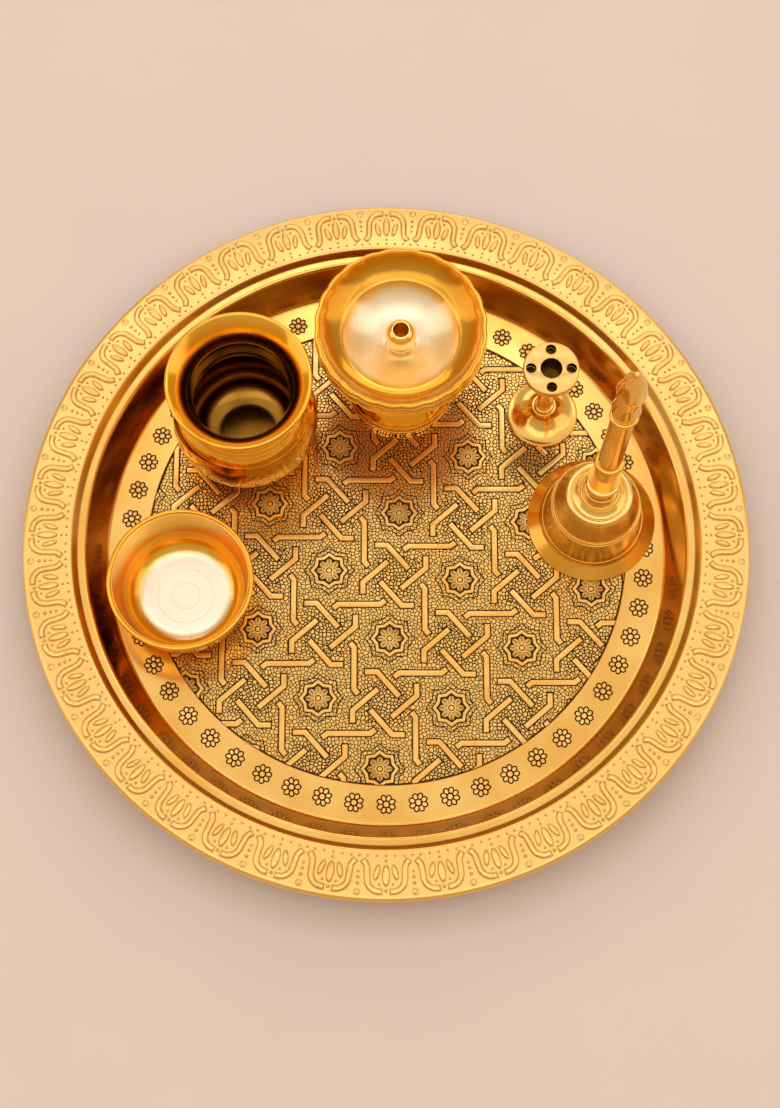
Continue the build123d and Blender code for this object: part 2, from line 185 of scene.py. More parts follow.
def turned_brass(name, axis, colour, deep, roughness, grain=0.0, highlight_zone=None):
    """Polished brass with lathe rings, a cloudy bloom and fine specks.

    Highlight zone paints a highlight on upward faces near the axis: a paler colour, the radius that it
    reaches to and the roughness that it adds.
    """
    material, place = begin(name)
    local = from_axis(place, axis)
    radius = radius_of(local)
    height = local.node("ShaderNodeSeparateXYZ", None, {0: local}, 2)
    track = place.node("ShaderNodeCombineXYZ", None, {0: radius, 1: height})
    rings = track.noise(1700, 1.0)
    cloud = place.noise(45, 4.0)
    speck = place.noise(900, 2.0).rise(0.62, 0.78)
    brushed = place.node("ShaderNodeMapping", None, {0: place, 2: (0.3, 0.5, 0.9), 3: (1, 12, 1)})
    scratch = brushed.noise(160, 3.0)
    bloom = cloud.rise(0.35, 0.7)
    tone = bloom.mix(rgba(colour), rgba(deep))
    rough = roughness + 0.05 * bloom + 0.08 * speck + 0.04 * scratch
    # Painted highlight: upward faces inside the reach get a paler colour and more roughness
    if highlight_zone:
        pale, reach, soften = highlight_zone
        normal = place.node("ShaderNodeNewGeometry", out=1)
        upward = place.node("ShaderNodeSeparateXYZ", None, {0: normal}, 2).rise(0.1, 0.5)
        painted_sheen = (1 - past(radius, (reach * 0.80, reach))) * upward
        tone = painted_sheen.mix(tone, bloom.mix(rgba(pale), rgba(pale, 0.93)))
        rough = rough + soften * painted_sheen
    tone = (speck * 0.3).mix(tone, rgba(deep, 0.45))
    relief = 0.5 * rings + 0.3 * scratch + grain * place.noise(1400, 2.0)
    surface(place, Base_Color=tone, Metallic=1.0, Roughness=rough, Coat_Weight=0.15, Coat_Roughness=0.08,
            Normal=bump(place, relief, 0.35, 0.00005))
    return material


def hole_shade_brass(name, colour):
    """Dark brown brass inside a hole: painted shade."""
    material, place = begin(name)
    cloud = place.noise(80, 4.0).rise(0.3, 0.7)
    tone = cloud.mix(rgba(colour), rgba(colour, 0.55))
    surface(place, Base_Color=tone, Metallic=1.0, Roughness=0.26 + 0.18 * cloud,
            Normal=bump(place, place.noise(500, 3.0), 0.3, 0.0001))
    return material


def knots(place):
    """1 in the knots of the strapwork, between the stars, and 0 round the stars."""
    shares = []
    for way in (LATTICE, LATTICE.orthogonal()):
        step = way / way.length_squared
        along = place.node("ShaderNodeVectorMath", {"operation": "DOT_PRODUCT"},
                           {0: place, 1: (step.x / MM, step.y / MM, 0)}, 1)
        share = place.maths("FRACT", along - FIRST_STAR.dot(step))
        shares.append(place.maths("ABSOLUTE", share - 0.5))
    return 1 - (shares[0] + shares[1]).rise(0.28, 0.38)


def sheet_brass(name, tray):
    """The tray's sheet: pebbles in black wax inside the field's edge, polished brass outside it."""
    material, place = begin(name)
    radius = radius_of(place)
    edge = tray.field_r
    field = 1 - past(radius, (edge - 0.4, edge - 0.1))
    line = past(radius, (edge - 1.1, edge - 0.9))
    knot = knots(place)
    cells = place.node("ShaderNodeTexVoronoi", {"voronoi_dimensions": "2D", "feature": "DISTANCE_TO_EDGE"},
                       {"Vector": place, "Scale": tray.pebbles, "Randomness": 1.0})
    pebble = (cells - 0.05 * knot).rise(0.08, 0.16) * (1 - line)
    cloud = place.noise(30, 4.0).rise(0.35, 0.7)
    wear_and_reflection = place.noise(70, 3.0)
    brushed = place.node("ShaderNodeMapping", None, {0: place, 2: (0.0, 0.0, 0.7), 3: (1, 14, 1)})
    scratch = brushed.noise(130, 3.0)
    grit = place.noise(1500, 2.0)
    sheet = cloud.mix(rgba(tray.brass), rgba(tray.worn_and_shade_brass))
    flange = past(radius, FLANGE)
    sheet = (flange * 0.7).mix(sheet, rgba(tray.satin))
    # Painted reflection: the wall is painted dark brown, patchy with the noise, for the dark reflections
    # that it shows
    wall = past(radius, WALL_FOOT) - past(radius, WALL_TOP)
    sheet = (wall * (0.4 + 0.6 * wear_and_reflection)).mix(sheet, rgba(tray.wall))
    # Painted shade: the step below the flange is darkened
    step_shade = past(radius, STEP_FOOT) - past(radius, STEP_TOP)
    sheet = (0.6 * step_shade).mix(sheet, rgba(tray.worn_and_shade_brass, 0.3))
    stones = (wear_and_reflection.rise(0.3, 0.7) * 0.3).mix(rgba(tray.brass), rgba(tray.worn_and_shade_brass))
    ground = pebble.mix(rgba(tray.patina), stones)
    tone = field.mix(sheet, ground)
    rough = 0.12 + 0.06 * cloud + 0.06 * scratch + 0.14 * flange + field * (0.30 - 0.25 * pebble)
    relief = field * pebble + 0.15 * scratch + 0.25 * flange * grit
    surface(place, Base_Color=tone, Metallic=1.0, Roughness=rough, Coat_Weight=0.1, Coat_Roughness=0.08,
            Normal=bump(place, relief, 0.6, 0.00004))
    return material


def raised_brass(name, colour, deep, roughness):
    """Worn brass on the raised ornament."""
    material, place = begin(name)
    cloud = place.noise(60, 4.0).rise(0.35, 0.7)
    fleck = place.noise(700, 2.0)
    tone = cloud.mix(rgba(colour), rgba(deep))
    tone = (0.5 * fleck.rise(0.58, 0.75)).mix(tone, rgba(deep, 0.5))
    rough = roughness + 0.12 * cloud + 0.10 * fleck
    surface(place, Base_Color=tone, Metallic=1.0, Roughness=rough, Coat_Weight=0.3, Coat_Roughness=0.08,
            Normal=bump(place, fleck, 0.3, 0.00006))
    return material


def black_patina(name, colour):
    """Dark wax left in the engraved lines."""
    material, place = begin(name)
    fleck = place.noise(900, 3.0)
    tone = fleck.rise(0.45, 0.8).mix(rgba(colour, 0.7), rgba(colour, 1.8))
    surface(place, Base_Color=tone, Roughness=0.55 + 0.2 * fleck, Specular_IOR_Level=0.1,
            Normal=bump(place, fleck, 0.4, 0.00008))
    return material


# Outlines and meshes, in millimetres

def verts_of(geom):
    """The vertices among a mesh operator's results."""
    return [item for item in geom if isinstance(item, bmesh.types.BMVert)]


def off_axis(spot):
    """Distance from the axis."""
    return math.hypot(spot.x, spot.y)


class Outline:
    """A bent line in the XY plane, to be turned about its Y axis or widened to a strip."""

    def __init__(self, x, y):
        self.bm = bmesh.new()
        self.first = self.bm.verts.new((x, y, 0))
        self.last = self.first
        self.bends = []

    def to(self, x, y, bend=0.0):
        """A straight run to a corner that is bent to a radius."""
        made = self.bm.verts.new((x, y, 0))
        self.bm.edges.new((self.last, made))
        self.last = made
        if bend:
            self.bends.append((made, bend))
        return self

    def arc(self, x, y, degrees, steps):
        """An arc about a centre, anticlockwise where the angle is positive."""
        swept = bmesh.ops.spin(self.bm, geom=[self.last], cent=(x, y, 0), axis=(0, 0, 1), dvec=(0, 0, 0),
                               angle=math.radians(degrees), steps=steps, use_merge=False)
        self.last = verts_of(swept["geom_last"])[0]
        return self

    def close(self):
        """A straight run back to the start."""
        self.bm.edges.new((self.last, self.first))
        return self

    def round_corners(self):
        """Bevels each bent corner to its radius."""
        for corner, bend in self.bends:
            before, after = (edge.other_vert(corner).co - corner.co for edge in corner.link_edges)
            turn = math.pi - before.angle(after)
            bmesh.ops.bevel(self.bm, geom=[corner], offset=bend * math.tan(turn / 2), offset_type="OFFSET",
                            segments=max(2, math.ceil(math.degrees(turn) / 9)), profile=0.5,
                            affect="VERTICES", material=-1, clamp_overlap=True)

    def turned(self, steps=128):
        """The solid that the outline makes round the axis."""
        self.round_corners()
        bm = self.bm
        bmesh.ops.rotate(bm, verts=bm.verts, cent=(0, 0, 0), matrix=Matrix.Rotation(math.pi / 2, 3, "X"))
        bmesh.ops.spin(bm, geom=bm.verts[:] + bm.edges[:], cent=(0, 0, 0), axis=(0, 0, 1), dvec=(0, 0, 0),
                       angle=math.tau, steps=steps, use_merge=True)
        bmesh.ops.remove_doubles(bm, verts=bm.verts, dist=0.0005)
        bmesh.ops.recalc_face_normals(bm, faces=bm.faces)
        return bm

    def strip(self, width):
        """A flat strip of a width along the line."""
        self.round_corners()
        bm = self.bm
        bmesh.ops.remove_doubles(bm, verts=bm.verts, dist=0.001)
        chain = walk(self.first)
        sides = mitres([vert.co.xy for vert in chain])
        made = verts_of(bmesh.ops.extrude_edge_only(bm, edges=bm.edges[:])["geom"])
        twins = [min(made, key=lambda other: (other.co - vert.co).length) for vert in chain]
        for vert, twin, side in zip(chain, twins, sides):
            vert.co.xy += side * width / 2
            twin.co.xy -= side * width / 2
        bm.normal_update()
        bmesh.ops.reverse_faces(bm, faces=[face for face in bm.faces if face.normal.z < 0])
        return bm


def walk(first):
    """The vertices of an open line, in order."""
    chain = [first]
    while True:
        ahead = [edge.other_vert(chain[-1]) for edge in chain[-1].link_edges]
        ahead = [vert for vert in ahead if vert not in chain]
        if not ahead:
            return chain
        chain.append(ahead[0])


def mitres(spots):
    """Left side at each point of a line, longer at a corner so that a wall keeps its thickness."""
    ways = [(after - before).normalized() for before, after in zip(spots, spots[1:])]
    sides = [Vector((-way.y, way.x)) for way in ways]
    pairs = zip(sides[:1] + sides, sides + sides[-1:])
    return [(before + after) / (1 + before.dot(after)) for before, after in pairs]


def inner_side(points, wall):
    """The other side of a wall whose first side has (x, y, bend) corners; a left bend gets tighter."""
    spots = [Vector(point[:2]) for point in points]
    shifted = []
    for number, side in enumerate(mitres(spots)):
        spot = spots[number] + side * wall
        bend = points[number][2]
        if bend:
            before = spots[number] - spots[number - 1]
            after = spots[number + 1] - spots[number]
            bend = max(bend - math.copysign(wall, before.cross(after)), 0.0)
        shifted.append((spot.x, spot.y, bend))
    return shifted


def emboss(bm, *steps):
    """Insets the faces ring by ring; each step is an inset, a lift and a finish."""
    faces = bm.faces[:]
    for inset, lift, finish in steps:
        band = bmesh.ops.inset_region(bm, faces=faces, thickness=inset, depth=lift, use_boundary=True,
                                      use_even_offset=True)["faces"]
        for face in band:
            face.material_index = finish
    for face in faces:
        face.material_index = steps[-1][2]
    return bm


def disc(radius, sides, x=0.0, y=0.0, long=1.0, turn=0.0):
    """A flat round or oval face; long stretches it along X before it is turned."""
    bm = bmesh.new()
    bmesh.ops.create_circle(bm, cap_ends=True, segments=sides, radius=radius)
    bmesh.ops.scale(bm, verts=bm.verts, vec=(long, 1, 1))
    bmesh.ops.translate(bm, verts=bm.verts, vec=(x, y, 0))
    bmesh.ops.rotate(bm, verts=bm.verts, cent=(0, 0, 0), matrix=Matrix.Rotation(turn, 3, "Z"))
    return bm


def join(bm, *others):
    """Adds other meshes to the first."""
    for other in others:
        carrier = bpy.data.meshes.new("carrier")
        other.to_mesh(carrier)
        other.free()
        bm.from_mesh(carrier)
        bpy.data.meshes.remove(carrier)
    return bm


def strew(unit, places):
    """Copies a unit to each place and drops the first one."""
    start = unit.verts[:] + unit.edges[:] + unit.faces[:]
    for place in places:
        copy = bmesh.ops.duplicate(unit, geom=start)["geom"]
        bmesh.ops.transform(unit, matrix=place, verts=verts_of(copy))
    bmesh.ops.delete(unit, geom=verts_of(start), context="VERTS")
    return unit


def round_the_tray(count, radius, height, lead=0.0):
    """Places round the tray's axis, each with its own Y axis pointing outwards."""
    places = []
    for number in range(count):
        turn = Matrix.Rotation(math.tau * (number + lead) / count, 4, "Z")
        places.append(turn @ Matrix.Translation((0, radius, height)))
    return places


def shade_inside(bm, holds):
    """Gives the inside's finish, which paints shade, to the faces that a test of centre and normal picks."""
    bm.normal_update()
    for face in bm.faces:
        if holds(face.calc_center_median(), face.normal):
            face.material_index = INSIDE
    return bm


def faces_axis(spot, normal):
    """True on a wall that looks at the axis."""
    return spot.x * normal.x + spot.y * normal.y < -0.1


def scallop(bm, lobes, depth, share):
    """Draws a turned wall in between its lobes, by a share of the depth that a place gives."""
    for vert in bm.verts:
        radius = off_axis(vert.co)
        valley = 1 - abs(math.sin(lobes / 2 * math.atan2(vert.co.y, vert.co.x)))
        factor = 1 - depth * valley * share(radius, vert.co.z) / max(radius, 1.0)
        vert.co.xy *= factor
    return bm


def lifted(bm, height):
    """Raises a flat ornament by a height."""
    bmesh.ops.translate(bm, verts=bm.verts, vec=(0, 0, height))
    return bm


def ring(radius, height, wire, steps=128):
    """A thin raised ring."""
    return Outline(radius + wire, height).arc(radius, height, 360, 10).turned(steps)


def piece(bm, name, body, materials, axis=CENTRE, replaced=(), crease=38):
    """Places a mesh in the frame and makes it ride on its body."""
    bmesh.ops.translate(bm, verts=bm.verts, vec=axis)
    bmesh.ops.scale(bm, verts=bm.verts, vec=(MM, MM, MM))
    for face in bm.faces:
        face.smooth = True
    mesh = bpy.data.meshes.new(name)
    bm.to_mesh(mesh)
    bm.free()
    mesh.set_sharp_from_angle(angle=math.radians(crease))
    for material in materials:
        mesh.materials.append(material)
    made = bpy.data.objects.new(name, mesh)
    bpy.context.scene.collection.objects.link(made)
    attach(made, body)
    if replaced:
        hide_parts(*replaced)
    return made


# Sizes and colours that a user would change

def length(name, text, default):
    """A length in millimetres."""
    return FloatProperty(name=name, description=text, default=default, min=0.0)


def tint(name, text, default):
    """A colour."""
    return FloatVectorProperty(name=name, description=text, default=default, subtype="COLOR", size=3,
                               min=0, max=1)


class ThaliTray(bpy.types.PropertyGroup):
    """The tray's ornament, lengths in millimetres."""
    field_r: length("Field radius", "Where the engraved field ends", 101.0)
    field_z: length("Field height", "Height of the pebbled ground", 0.95)
    border_z: length("Border height", "Height of the plain border round the field", 1.3)
    strap: length("Strap width", "Width of a raised strap", 2.35)
    groove: length("Line width", "Width of a black line beside the ornament", 0.45)
    rosettes: IntProperty(name="Rosettes", description="Flowers round the border", default=52, min=3)
    rosette_r: length("Rosette circle", "Radius of the circle of flowers", 108.5)
    arches: IntProperty(name="Arches", description="Arches round the flange", default=40, min=3)
    relief: length("Relief", "Height of the arches above the flange", 0.8)
    pebbles: FloatProperty(name="Pebbles", description="Pebbles per metre in the field", default=680.0)
    brass: tint("Brass", "Polished brass of the tray", (0.93, 0.58, 0.18))
    # Also darkened to paint shade in the step below the flange
    worn_and_shade_brass: tint("Deep brass", "Brass where the polish has gone", (0.84, 0.45, 0.10))
    satin: tint("Satin brass", "Pale satin brass of the flange and its frieze", (0.92, 0.63, 0.23))
    # Painted reflection: this dark brown stands in for the dark field that the wall reflects
    wall: tint("Wall", "Brown brass of the tray's wall", (0.33, 0.135, 0.015))
    patina: tint("Patina", "Dark wax in the engraving", (0.05, 0.021, 0.006))


class ThaliVessels(bpy.types.PropertyGroup):
    """Finishes of the vessels."""
    brass: tint("Brass", "Polished brass of the vessels", (0.92, 0.52, 0.075))
    # Also the colour of the painted shade inside the wick hole
    worn_and_shade_brass: tint("Deep brass", "Brass where the polish has gone", (0.84, 0.43, 0.045))
    # Painted highlight: a pale colour in the bowl's bottom for the bright reflection there
    highlight_tint: tint("Bowl highlight", "Pale brass in the bottom of the bowl", (0.99, 0.91, 0.76))
    # Painted highlight: a pale colour in the lamp's dish for the bright reflection there
    lamp_highlight_tint: tint("Lamp burnish", "Pale brass in the lamp's dish", (0.99, 0.86, 0.66))
    # Painted shade: the dish's inner wall is painted a darker orange
    dish_wall_shade: tint("Lamp wall", "Orange brass inside the lamp's wall", (0.74, 0.35, 0.035))
    # Painted shade: dark brown for the inside of the pot and the holes
    shade_inside: tint("Inside shade", "Brown brass inside the pot and the holes", (0.36, 0.175, 0.022))
    stand: tint("Stand", "Paler brass of the incense stand", (0.90, 0.54, 0.15))
    stand_deep: tint("Deep stand", "Stand brass where the polish has gone", (0.80, 0.42, 0.09))
    bell: tint("Bell", "Satin brass of the bell", (0.92, 0.57, 0.13))
    bell_deep: tint("Deep bell", "Bell brass where the polish has gone", (0.84, 0.47, 0.08))
    # Painted highlight: a pale colour on the bell's shoulder and the lamp's bulb
    painted_sheen: tint("Highlight brass", "Pale brass of the bell's shoulder and the lamp's bulb", (0.99, 0.73, 0.29))
    cast: tint("Clapper", "Cast brass of the clapper", (0.62, 0.38, 0.10))
    lobes: IntProperty(name="Lobes", description="Scallops round the lamp's lip", default=24, min=3)
    wave: length("Scallop depth", "Depth of the scallops, in millimetres", 0.5)


class ThaliStage(bpy.types.PropertyGroup):
    """Floor, light and camera."""
    floor: tint("Floor", "Pale floor", (0.73, 0.635, 0.63))
    room: tint("Room", "Warm light from the room's sides", (0.66, 0.39, 0.08))
    ceiling: tint("Ceiling", "Light from the room's ceiling", (0.66, 0.58, 0.45))
    box: FloatProperty(name="Soft box", description="Power of the soft box overhead", default=3.1,
                       unit="POWER")
    lamp: FloatProperty(name="Lamp", description="Power of the wide lamp behind the tray", default=3.2,
                        unit="POWER")
    spot: FloatVectorProperty(name="Camera", description="Place of the camera", subtype="TRANSLATION",
                              unit="LENGTH", default=(0.00156, -0.2411, 0.7817))
    tilt: FloatProperty(name="Tilt", description="Camera's tilt from straight down", unit="ROTATION",
                        default=math.radians(17))
    lens: FloatProperty(name="Lens", description="Focal length in millimetres", default=63.0, unit="CAMERA")


# Pieces

class ThaliPiece:
    """Common to the operators that make pieces."""
    bl_options = {"REGISTER", "UNDO"}

    def execute(self, context):
        self.make(context.scene.thali_tray, context.scene.thali_vessels)
        return {"FINISHED"}


class THALI_OT_sheet(ThaliPiece, bpy.types.Operator):
    """Spins the tray's sheet with its floor, wall, ledge, flange and rolled edge"""
    bl_idname = "thali.sheet"
    bl_label = "Tray sheet"

    def make(self, tray, vessels):
        edge = tray.field_r
        foot_r, ledge_r, step_r, flange_r = 117.3, 124.2, 127.5, 130
        roll_r, rim_r = 146, 149.99
        ledge_z = 17.4
        roll_z = RIM_TOP - 4
        sheet, wall_back, step_back = 1.4, 0.92, 0.58
        line = Outline(0, tray.field_z).to(edge - 0.5, tray.field_z).to(edge, tray.border_z)
        line.to(foot_r, tray.border_z, 2.0).to(ledge_r, ledge_z, 2.0).to(step_r, ledge_z, 0.6)
        line.to(flange_r, RIM_TOP, 2.0).to(rim_r, RIM_TOP, 2.0).to(rim_r, roll_z, 2.0)
        line.to(roll_r, roll_z, 1.9).to(roll_r, RIM_TOP - sheet, 0.3)
        line.to(flange_r + step_back, RIM_TOP - sheet, 0.6).to(step_r + step_back, ledge_z - sheet, 2.0)
        line.to(ledge_r + wall_back, ledge_z - sheet, 0.6).to(foot_r + wall_back, 0, 3.4).to(0, 0)
        piece(line.turned(256), "tray_sheet", "tray", [sheet_brass("engraved_brass", tray)],
              replaced=["thali_tray"], crease=25)


class THALI_OT_straps(ThaliPiece, bpy.types.Operator):
    """Lays the strapwork of bars and eight-pointed stars on the tray's field"""
    bl_idname = "thali.straps"
    bl_label = "Floor strapwork"

    def bar(self, tray, points):
        """One raised bar with a black line on both sides."""
        line = Outline(*points[0])
        for x, y in points[1:]:
            line.to(x, y)
        bm = line.strip(tray.strap + 2 * tray.groove)
        return emboss(bm, (tray.groove, 0.0, PATINA), (0.2, 0.22, METAL), (0.3, 0.04, METAL))

    def points_of_eight(self, tip):
        """A flat eight-pointed star."""
        bm = disc(tip, 16)
        for vert in sorted(bm.verts, key=lambda v: math.atan2(v.co.y, v.co.x))[::2]:
            vert.co *= 0.82
        return bm

    def star(self):
        """A bright band between black lines, a ring of grooved petals and an eye."""
        bm = self.points_of_eight(8.5)
        emboss(bm, (0.42, 0.0, PATINA), (0.15, 0.2, METAL), (1.1, 0.02, METAL), (0.15, -0.2, METAL),
               (0.4, 0.0, PATINA))
        outer = self.points_of_eight(10.7)
        emboss(outer, (0.45, 0.0, PATINA))
        bmesh.ops.delete(outer, geom=[face for face in outer.faces if len(face.verts) > 4], context="FACES")
        join(bm, outer)
        for number in range(8):
            turn = math.tau * number / 8
            petal = lifted(disc(1.62, 8, x=3.45, long=1.25, turn=turn), 0.01 + 0.005 * (number % 2))
            join(bm, emboss(petal, (0.26, 0.0, PATINA), (0.12, 0.1, WORN)))
            cut = lifted(Outline(2.9, 0).to(4.9, 0).strip(0.34), 0.13)
            bmesh.ops.rotate(cut, verts=cut.verts, cent=(0, 0, 0), matrix=Matrix.Rotation(turn, 3, "Z"))
            join(bm, cut)
        eye = lifted(disc(2.4, 16), 0.03)
        emboss(eye, (0.3, 0.0, PATINA), (0.15, 0.18, METAL), (0.55, 0.0, METAL), (0.12, -0.12, PATINA),
               (0.24, 0.0, PATINA), (0.12, 0.12, METAL))
        return join(bm, eye)

    def make(self, tray, vessels):
        base = tray.field_z + 0.02
        along, across, start = (way.to_3d() for way in (LATTICE, LATTICE.orthogonal(), FIRST_STAR))
        stars = [start + along * i + across * j for i in range(-5, 6) for j in range(-5, 6)]
        stars = [star for star in stars if star.length < tray.field_r + 30]
        spots = [Matrix.Translation(star + Vector((0, 0, base))) for star in stars]
        upright = Matrix.Rotation(math.pi / 2, 4, "Z")
        field = bmesh.new()
        long_bar = self.bar(tray, [(-11.3, -2.0), (-8.75, 0), (8.75, 0), (11.3, 2.0)])
        edges = [spot @ Matrix.Translation(across / 2) for spot in spots]
        edges += [spot @ Matrix.Translation(along / 2) @ upright for spot in spots]
        join(field, strew(long_bar, edges))
        pin = self.bar(tray, [(-13.2, -8.7), (-13.2, -3.1), (-2.4, 6.3)])
        centres = [spot @ Matrix.Translation((along + across) / 2) for spot in spots]
        quarters = [Matrix.Rotation(math.pi / 2 * number, 4, "Z") for number in range(4)]
        join(field, strew(pin, [knot @ quarter for knot in centres for quarter in quarters]))
        join(field, strew(self.star(), spots))
        cuts = 48
        for number in range(cuts):
            way = Vector((math.cos(math.tau * number / cuts), math.sin(math.tau * number / cuts), 0))
            bmesh.ops.bisect_plane(field, geom=field.verts[:] + field.edges[:] + field.faces[:], dist=0.0001,
                                   plane_co=way * (tray.field_r - 0.6), plane_no=way, clear_outer=True)
        piece(field, "floor_straps", "tray",
              [black_patina("strap_patina", tray.patina),
               raised_brass("strap_brass", tray.brass, tray.worn_and_shade_brass, 0.2),
               raised_brass("petal_brass", rgba(tray.brass, 0.75), rgba(tray.worn_and_shade_brass, 0.6), 0.3)])


class THALI_OT_rosettes(ThaliPiece, bpy.types.Operator):
    """Sets the ring of eight-petalled flowers on the border of the floor"""
    bl_idname = "thali.rosettes"
    bl_label = "Border rosettes"

    def make(self, tray, vessels):
        flower = bmesh.new()
        for number in range(8):
            petal = disc(1.38, 8, x=2.6, long=1.2, turn=math.tau * (number + 0.5) / 8)
            lifted(petal, 0.004 * (number % 2))
            join(flower, emboss(petal, (tray.groove * 1.35, 0.0, PATINA), (0.12, 0.05, METAL)))
        heart = lifted(disc(1.4, 12), 0.01)
        join(flower, emboss(heart, (tray.groove * 0.8, 0.0, PATINA), (0.12, 0.05, METAL)))
        places = round_the_tray(tray.rosettes, tray.rosette_r, tray.border_z + 0.01)
        piece(strew(flower, places), "border_rosettes", "tray",
              [black_patina("rosette_patina", tray.patina),
               raised_brass("rosette_brass", tray.brass, tray.worn_and_shade_brass, 0.25)])


class THALI_OT_frieze(ThaliPiece, bpy.types.Operator):
    """Raises the frieze of arches, leaves and beads on the flange"""
    bl_idname = "thali.frieze"
    bl_label = "Rim frieze"

    def make(self, tray, vessels):
        middle = 140.0
        clear = 0.012
        unit = bmesh.new()
        for side in (1, -1):
            line = Outline(9.2 * side, 133.2 - middle).to(7.5 * side, 135.6 - middle, 3.5)
            line.to(7.3 * side, 146.0 - middle, 4.8).to(1.3 * side, 146.0 - middle)
            join(unit, self.raised(tray, line.strip(2.8), 0.3))
        leaves = [(0.0, -0.2, 4.5, 1.7, 0.0), (3.6, -1.5, 3.4, 1.3, -0.28), (-3.6, -1.5, 3.4, 1.3, 0.28)]
        for x, y, half, wide, lean in leaves:
            leaf = disc(wide, 12, long=half / wide, turn=math.pi / 2 + lean)
            bmesh.ops.translate(leaf, verts=leaf.verts, vec=(x, y, 0))
            join(unit, self.raised(tray, leaf, 0.2))
        for radius, size in [(145.6, 0.8), (133.9, 0.6), (131.9, 0.55)]:
            join(unit, self.bead(tray, size, 0.0, radius - middle))
        pairs = [(2.7, 143.1, 0.6), (3.6, 131.9, 0.55), (7.2, 131.9, 0.55)]
        for x, radius, size in pairs:
            for side in (1, -1):
                join(unit, self.bead(tray, size, x * side, radius - middle))
        strew(lifted(unit, clear), round_the_tray(tray.arches, middle, RIM_TOP))
        gap = bmesh.new()
        for radius, size in [(146.4, 1.5), (142.9, 0.8), (140.5, 0.7), (138.3, 0.6), (132.0, 0.6)]:
            join(gap, self.bead(tray, size, 0.0, radius - middle))
        strew(lifted(gap, clear), round_the_tray(tray.arches, middle, RIM_TOP, 0.5))
        piece(join(unit, gap), "rim_frieze", "tray",
              [raised_brass("frieze_line", rgba(tray.satin, 0.60), rgba(tray.satin, 0.50), 0.35),
               raised_brass("frieze_brass", tray.satin, tray.brass, 0.24)], crease=55)

    def raised(self, tray, bm, line):
        """A flat shape rounded up to the relief, inside a fine line."""
        return emboss(bm, (line, 0.0, PATINA), (0.3, tray.relief * 0.7, METAL),
                      (0.25, tray.relief * 0.25, METAL))

    def bead(self, tray, size, x, y):
        """A round bead in a fine line."""
        return emboss(disc(size, 10, x=x, y=y), (size * 0.2, 0.0, PATINA),
                      (size * 0.3, tray.relief * 0.7, METAL), (size * 0.25, tray.relief * 0.2, METAL))


class THALI_OT_lota(ThaliPiece, bpy.types.Operator):
    """Turns the water pot: its belly and its flared mouth"""
    bl_idname = "thali.lota"
    bl_label = "Water pot"

    def make(self, tray, vessels):
        # The second finish paints shade inside the pot
        finishes = [turned_brass("pot_polish", LOTA, vessels.brass, vessels.worn_and_shade_brass, 0.08),
                    turned_brass("pot_inside", LOTA, vessels.shade_inside, rgba(vessels.shade_inside, 0.6), 0.10)]
        flare = [turned_brass("pot_flare", LOTA, vessels.brass, vessels.worn_and_shade_brass, 0.12), finishes[1]]
        belly_x, belly_z = 3.275, 22.548
        flare_x, flare_z = 37.726, 49
        collar_r, bore_r, collar_z = 21.9, 20.6, 45
        skirt_r, skirt_in, skirt_z = 20.55, 19.55, 41
        throat_z = 51.5
        belly = Outline(0, 0).to(18, 0, 0.6).arc(belly_x, belly_z, 103.1, 48).to(collar_r, collar_z)
        belly.to(bore_r, collar_z).to(bore_r, 41.43).arc(belly_x, belly_z, -80, 32)
        belly = belly.arc(11.81, 17.1, -57.46, 14).to(0, 1.6).turned()
        # Painted shade on the pot's inner wall and floor
        shade_inside(belly, lambda spot, normal: faces_axis(spot, normal) or 1 < spot.z < 2 and normal.z > 0.5)
        rings = [ring(23.44, 40.4, 0.35), ring(24.7, 38.87, 0.35), ring(27.4, 34.2, 0.2)]
        piece(join(belly, *rings), "lota_belly", "lota", finishes, LOTA, ["lota_body"])
        mouth = Outline(skirt_in, skirt_z).to(skirt_r, skirt_z).to(skirt_r, collar_z).to(collar_r, collar_z)
        mouth.arc(collar_r, 45.9, 180, 10).to(collar_r, flare_z).arc(flare_x, flare_z, -51.94, 18)
        mouth.arc(28.7, 62, 268.2, 18).to(27.96, 63.07).arc(flare_x, flare_z, 55.2, 36)
        mouth = mouth.to(skirt_in, 44.5, 6).close().turned()
        # Painted shade inside the mouth's throat
        shade_inside(mouth, lambda spot, normal: spot.z < throat_z and faces_axis(spot, normal))
        piece(mouth, "lota_mouth", "lota", flare, LOTA, ["lota_neck"])


class THALI_OT_katori(ThaliPiece, bpy.types.Operator):
    """Turns the small bowl with its foot ring and rolled lip"""
    bl_idname = "thali.katori"
    bl_label = "Bowl"

    def make(self, tray, vessels):
        # Painted highlight: the bowl's upward faces near the axis are painted pale
        brass = turned_brass("bowl_polish", KATORI, vessels.brass, vessels.worn_and_shade_brass, 0.14,
                             highlight_zone=(vessels.highlight_tint, 20.5, 0.16))
        bowl = Outline(0, 1.6).to(12.6, 1.6).to(12.6, 0, 0.3).to(15, 0, 0.3).to(15, 1.6).to(25.5, 1.6, 12)
        bowl.to(28.774, 26.108).arc(28.9, 27.05, 270, 20).to(27.611, 27.222).to(24.362, 2.9, 10.7).to(0, 2.9)
        rings = [ring(size, 2.86, 0.12) for size in (5.7, 11.7)]
        piece(join(bowl.turned(), *rings), "katori_turned", "katori", [brass], KATORI,
              ["katori_bowl"])


